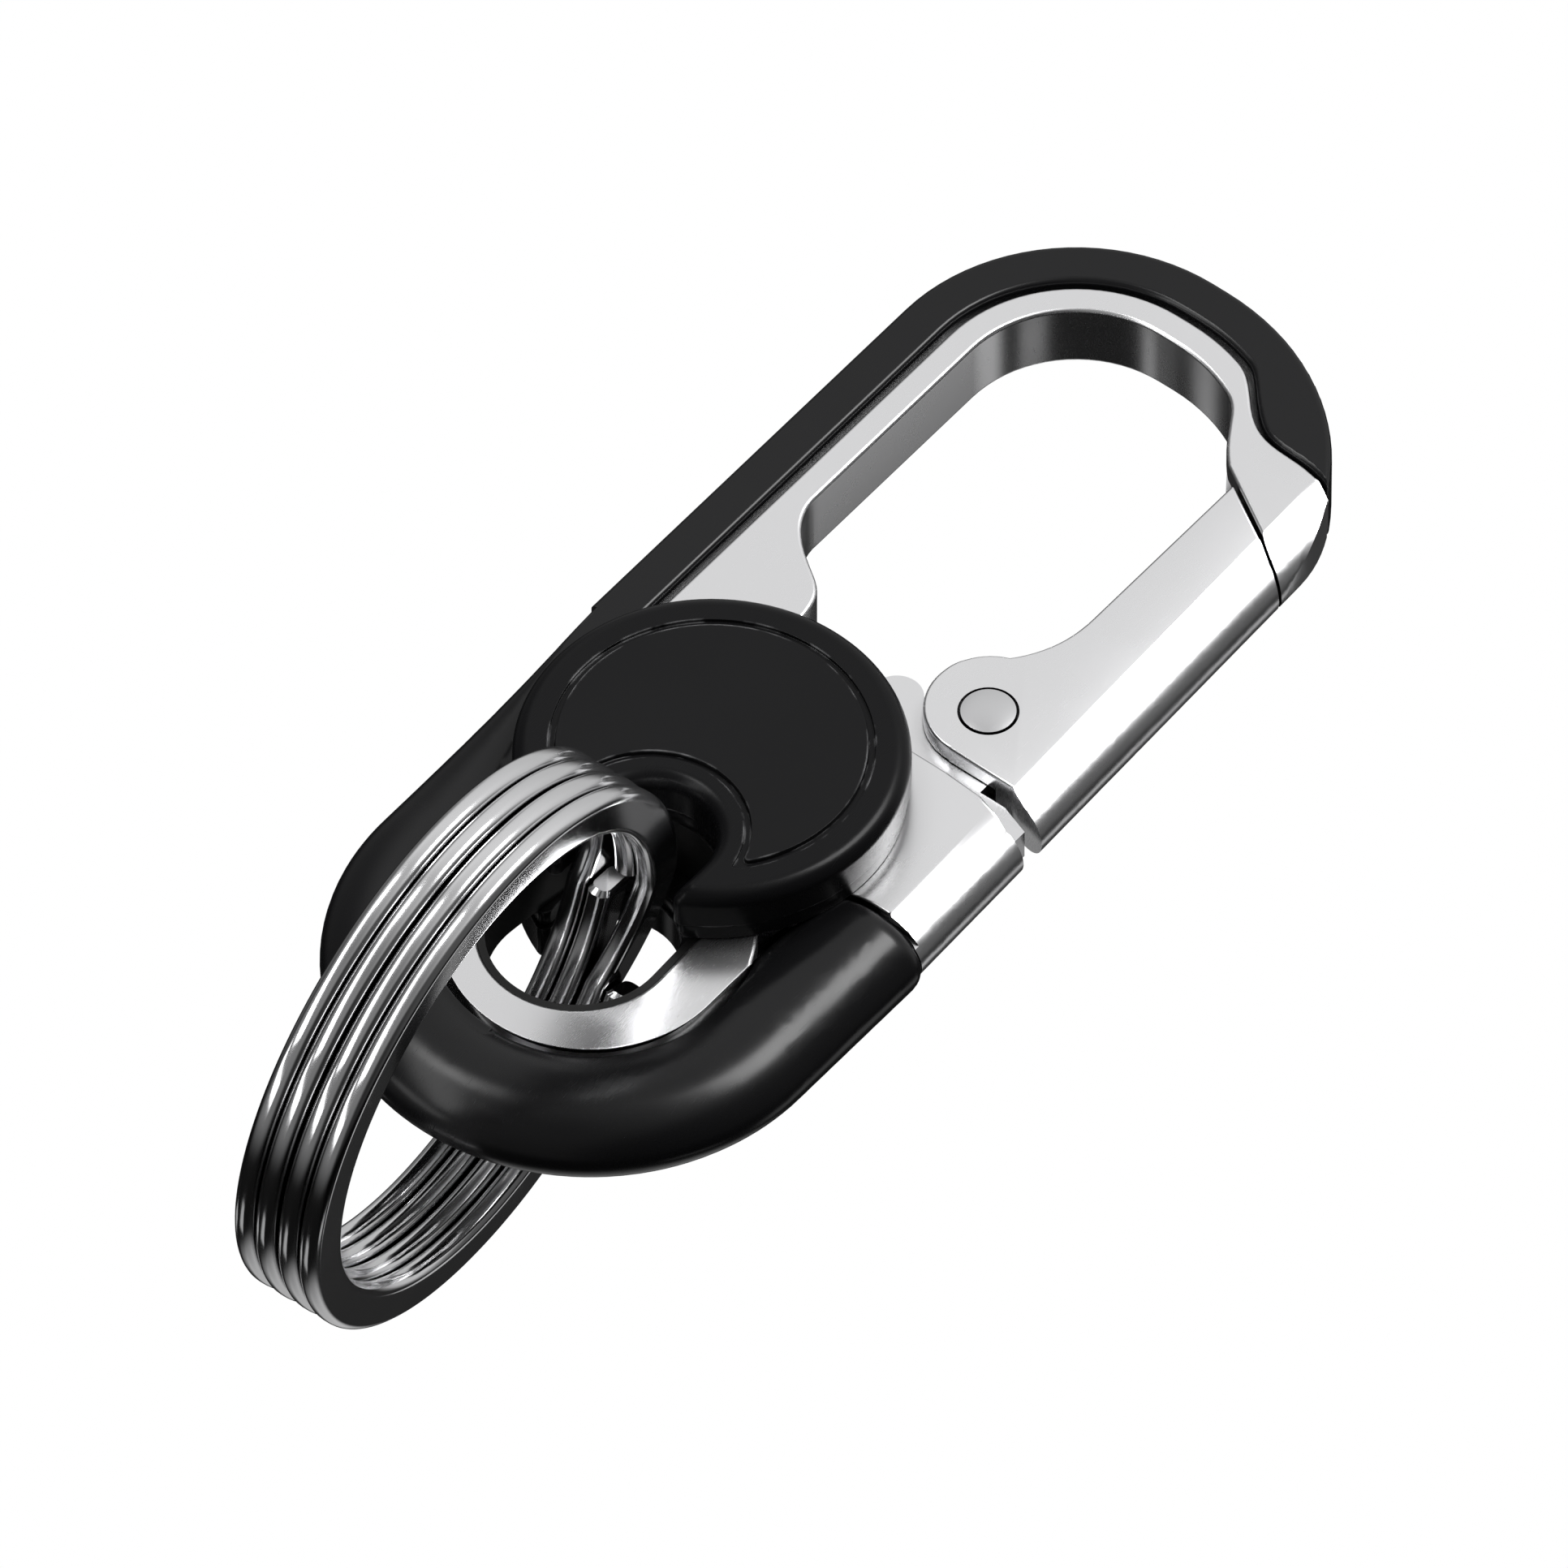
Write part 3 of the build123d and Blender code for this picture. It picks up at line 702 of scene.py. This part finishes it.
@dataclass
class SplitRing:
    """A split ring: two turns of flattened wire that cross over on a short ramp."""

    node: str
    body: Body
    turn: float
    materials: dict[Slot, bpy.types.Material]
    outer_radius: float = 17.45 * MM
    radial: float = 2.8 * MM
    thickness: float = 1.42 * MM
    pitch: float = 1.46 * MM
    corner: float = 0.58 * MM
    corner_steps: int = 6
    ramp: float = 34.0
    steps: int = 150
    ramp_steps: int = 20
    end_taper: float = 0.3 * MM
    end_scale: float = 0.78

    def section(self, bm: bmesh.types.BMesh) -> list[bmesh.types.BMEdge]:
        """Draws the wire's rounded section at the start of the lower coil.

        Args:
            bm: the empty mesh that gets it.

        Returns:
            The section's edges.
        """
        bmesh.ops.create_grid(bm, x_segments=1, y_segments=1, size=0.5)
        bmesh.ops.scale(bm, vec=(self.radial, self.thickness, 1.0), verts=bm.verts)
        bmesh.ops.bevel(
            bm,
            geom=list(bm.verts),
            offset=self.corner,
            offset_type="OFFSET",
            segments=self.corner_steps,
            profile=0.5,
            affect="VERTICES",
            material=-1,
        )
        stand = Matrix.Rotation(math.pi / 2, 4, "X")
        mean = self.outer_radius - self.radial / 2
        out = Matrix.Translation((mean, 0.0, -self.pitch / 2))
        start = Matrix.Rotation(math.radians(self.ramp / 2), 4, "Z")
        bmesh.ops.transform(bm, matrix=start @ out @ stand, verts=bm.verts)
        bmesh.ops.delete(bm, geom=list(bm.faces), context="FACES_ONLY")
        return list(bm.edges)

    def coil(self) -> bmesh.types.BMesh:
        """Winds the two turns about +Z.

        Returns:
            The closed wire.
        """
        bm = bmesh.new()
        first = self.section(bm)
        last = first
        level = 360.0 - self.ramp
        for angle, steps, rise in (
            (level, self.steps, 0.0),
            (self.ramp, self.ramp_steps, self.pitch),
            (level, self.steps, 0.0),
        ):
            ends = {v for e in last for v in e.verts}
            made = bmesh.ops.spin(
                bm,
                geom=list(ends) + last,
                cent=(0.0, 0.0, 0.0),
                axis=(0.0, 0.0, 1.0),
                dvec=(0.0, 0.0, rise / steps),
                angle=math.radians(angle),
                steps=steps,
            )
            last = [g for g in made["geom_last"] if isinstance(g, bmesh.types.BMEdge)]
        self.close_end(bm, first, -1.0)
        self.close_end(bm, last, 1.0)
        bmesh.ops.recalc_face_normals(bm, faces=bm.faces)
        return bm

    def close_end(self, bm: bmesh.types.BMesh, rim: list[bmesh.types.BMEdge], way: float) -> None:
        """Chamfers and closes one end of the wire.

        Args:
            bm: the mesh.
            rim: the end's edges.
            way: 1 where the wire ends turning forwards about +Z, -1 where it starts.
        """
        made = bmesh.ops.extrude_edge_only(bm, edges=rim)["geom"]
        verts = [g for g in made if isinstance(g, bmesh.types.BMVert)]
        edges = [g for g in made if isinstance(g, bmesh.types.BMEdge) and all(v in verts for v in g.verts)]
        centre = sum((v.co for v in verts), Vector()) / len(verts)
        onward = Vector((-centre.y, centre.x, 0.0)).normalized() * way * self.end_taper
        for v in verts:
            v.co = centre + (v.co - centre) * self.end_scale + onward
        bmesh.ops.contextual_create(bm, geom=edges)

    def place(self) -> Matrix:
        """Where the ring hangs.

        Returns:
            The matrix from the coil's own frame to the model's.
        """
        axis = Vector(next(j["axis"] for j in frame["joints"] if j["child"] == self.body.value)).normalized()
        low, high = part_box(self.node)
        centre = (Vector(low) + Vector(high)) / 2
        up = (Vector((0.0, 0.0, 1.0)) - axis * axis.z).normalized()
        side = axis.cross(up)
        basis = Matrix((up, side, axis)).transposed().to_4x4()
        return Matrix.Translation(centre) @ basis @ Matrix.Rotation(math.radians(self.turn), 4, "Z")

    def build(self) -> None:
        """Makes the ring where it hangs."""
        bm = self.coil()
        bmesh.ops.transform(bm, matrix=self.place(), verts=bm.verts)
        make_piece(bm, f"{self.node}_wire", self.materials[Slot.RING], self.body, [self.node])


# ---------------------------------------------------------------- studio


@dataclass
class Softbox:
    """An area light that stands in a direction from the object and faces it."""

    name: str
    direction: tuple[float, float, float]
    distance: float
    width: float
    height: float
    radiance: float

    def build(self, target: Vector) -> None:
        """Makes the light.

        Args:
            target: the point that it faces.
        """
        light = bpy.data.lights.new(self.name, "AREA")
        light.shape = "RECTANGLE"
        light.size = self.width
        light.size_y = self.height
        light.energy = self.radiance * math.pi * self.width * self.height
        lamp = bpy.data.objects.new(self.name, light)
        away = Vector(self.direction).normalized()
        turn = away.to_track_quat("Z", "Y").to_matrix().to_4x4()
        lamp.matrix_world = Matrix.Translation(target + away * self.distance) @ turn
        bpy.context.scene.collection.objects.link(lamp)


@dataclass
class Studio:
    """Pale floor, soft light and the camera."""

    elevation: float = 50.0
    lean: float = 51.2
    target_mm: tuple[float, float, float] = (3.01, -2.25, -39.54)
    view_width: float = 88.62 * MM
    distance: float = 3.0
    sensor: float = 36.0
    floor_drop: float = 1.9
    floor_size: float = 8.0
    depth_grades: tuple[tuple[float, float], ...] = (
        (-1.0, 0.6),
        (-0.76, 0.76),
        (0.1, 0.58),
        (0.45, 0.02),
        (0.88, 0.02),
        (0.97, 0.6),
    )
    height_grades: tuple[tuple[float, float], ...] = ((-0.5, 0.3), (0.15, 0.8), (0.35, 1.0))
    side_grades: tuple[tuple[float, float], ...] = ((-0.9, 0.25), (-0.6, 0.95), (0.4, 1.0), (0.75, 0.15))
    softboxes: list[Softbox] = field(
        default_factory=lambda: [
            Softbox("key_softbox", (0.26, -0.80, 0.46), 0.7, 0.26, 0.34, 11.0),
            Softbox("low_softbox", (-0.40, -0.91, -0.05), 0.7, 0.15, 0.15, 7.0),
            Softbox("front_strip", (-0.36, -0.72, -0.50), 0.7, 0.17, 0.8, 3.4),
            Softbox("under_strip", (-0.38, -0.15, -0.90), 0.7, 0.13, 0.4, 2.2),
            Softbox("rear_softbox", (0.55, 0.70, 0.46), 0.7, 0.2, 0.3, 0.5),
            Softbox("rear_strip_right", (0.635, 0.766, -0.10), 0.7, 0.08, 0.2, 0.4),
            Softbox("rear_strip_low", (-0.31, 0.766, -0.56), 0.7, 0.08, 0.2, 0.4),
            Softbox("rear_strip_left", (-0.60, 0.766, -0.23), 0.7, 0.08, 0.2, 0.4),
        ]
    )

    def camera(self) -> None:
        """Sets the camera square to a view down onto the front face, with the clip leaning in it."""
        rise, lean = math.radians(self.elevation), math.radians(self.lean)
        right = Vector((math.sin(lean), 0.0, math.cos(lean)))
        away = Vector((-math.cos(lean), 0.0, math.sin(lean)))
        front = Vector((0.0, -1.0, 0.0))
        up = away * math.sin(rise) + front * math.cos(rise)
        back = front * math.sin(rise) - away * math.cos(rise)
        data = bpy.data.cameras.new("camera")
        data.sensor_width = self.sensor
        data.lens = self.sensor * self.distance / self.view_width
        data.clip_start = 0.01
        camera = bpy.data.objects.new("camera", data)
        basis = Matrix((right, up, back)).transposed().to_4x4()
        target = Vector(self.target_mm) * MM
        camera.matrix_world = Matrix.Translation(target + back * self.distance) @ basis
        bpy.context.scene.collection.objects.link(camera)
        bpy.context.scene.camera = camera

    def floor(self) -> None:
        """Lays the pale floor well below the hanging clip."""
        bm = bmesh.new()
        bmesh.ops.create_grid(bm, x_segments=1, y_segments=1, size=self.floor_size / 2)
        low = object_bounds()[0][2] - self.floor_drop
        bmesh.ops.translate(bm, vec=(0.0, 0.0, low), verts=bm.verts)
        mesh = bpy.data.meshes.new("floor")
        bm.to_mesh(mesh)
        bm.free()
        material, _, shader = start_material("pale_floor")
        shader.inputs["Base Color"].default_value = (0.86, 0.86, 0.86, 1.0)
        shader.inputs["Roughness"].default_value = 0.9
        mesh.materials.append(material)
        floor = bpy.data.objects.new("floor", mesh)
        floor.visible_glossy = False
        bpy.context.scene.collection.objects.link(floor)
        floor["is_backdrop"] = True

    def graded(
        self, tree: bpy.types.NodeTree, value: bpy.types.NodeSocket, stops: tuple[tuple[float, float], ...]
    ) -> bpy.types.NodeSocket:
        """Grades the studio's light along one axis of the direction.

        Args:
            tree: the world's tree.
            value: the direction's coordinate on that axis, from -1 to 1.
            stops: coordinates and the light's level at each.

        Returns:
            The socket that carries the level.
        """
        share = put(tree, "MapRange", values={"From Min": -1.0, "From Max": 1.0})
        tree.links.new(value, share.inputs["Value"])
        grade = put(tree, "ValToRGB")
        ramp = grade.color_ramp
        ramp.interpolation = "EASE"
        for _ in stops[2:]:
            ramp.elements.new(0.5)
        for element, (place, level) in zip(ramp.elements, stops):
            element.position = (place + 1.0) / 2.0
            element.color = (level, level, level, 1.0)
        tree.links.new(share.outputs["Result"], grade.inputs["Fac"])
        return grade.outputs["Color"]

    def world(self) -> None:
        """Fills the studio: white where it is looked at, graded where it lights the metal."""
        world = bpy.data.worlds.new("studio")
        bpy.context.scene.world = world
        world.use_nodes = True
        tree = world.node_tree
        tree.nodes.clear()
        links = tree.links.new
        path = put(tree, "LightPath")
        place = put(tree, "TexCoord")
        split = put(tree, "SeparateXYZ")
        links(place.outputs["Generated"], split.inputs["Vector"])
        level = put(tree, "Math", operation="MULTIPLY")
        total = put(tree, "Math", operation="MULTIPLY")
        links(self.graded(tree, split.outputs["Y"], self.depth_grades), level.inputs[0])
        links(self.graded(tree, split.outputs["Z"], self.height_grades), level.inputs[1])
        links(level.outputs[0], total.inputs[0])
        links(self.graded(tree, split.outputs["X"], self.side_grades), total.inputs[1])
        light = put(tree, "Background")
        links(total.outputs[0], light.inputs["Color"])
        seen = put(tree, "Background", values={"Color": (1.0, 1.0, 1.0, 1.0)})
        mix = put(tree, "MixShader")
        links(path.outputs["Is Camera Ray"], mix.inputs["Fac"])
        links(light.outputs["Background"], mix.inputs[1])
        links(seen.outputs["Background"], mix.inputs[2])
        out = put(tree, "OutputWorld")
        links(mix.outputs[0], out.inputs["Surface"])

    def build(self) -> None:
        """Makes the camera, floor, world and lights."""
        self.camera()
        self.floor()
        self.world()
        for box in self.softboxes:
            box.build(Vector(self.target_mm) * MM)
        bpy.context.scene.view_settings.view_transform = "Standard"


def main() -> None:
    """Builds the studio, then the key holder piece by piece."""
    logging.basicConfig(level=logging.INFO, format="%(name)s: %(message)s")
    Studio().build()
    materials = Finishes().build()
    Casting(materials).build()
    GateAssembly(materials).build()
    DarkShell(materials).build()
    for side in ("front", "rear"):
        Disc(side, materials).build()
    SplitRing("split_ring_inner", Body.INNER_RING, 8.0, materials).build()
    SplitRing("split_ring_outer", Body.OUTER_RING, -14.0, materials).build()


if __name__ == "__main__":
    main()
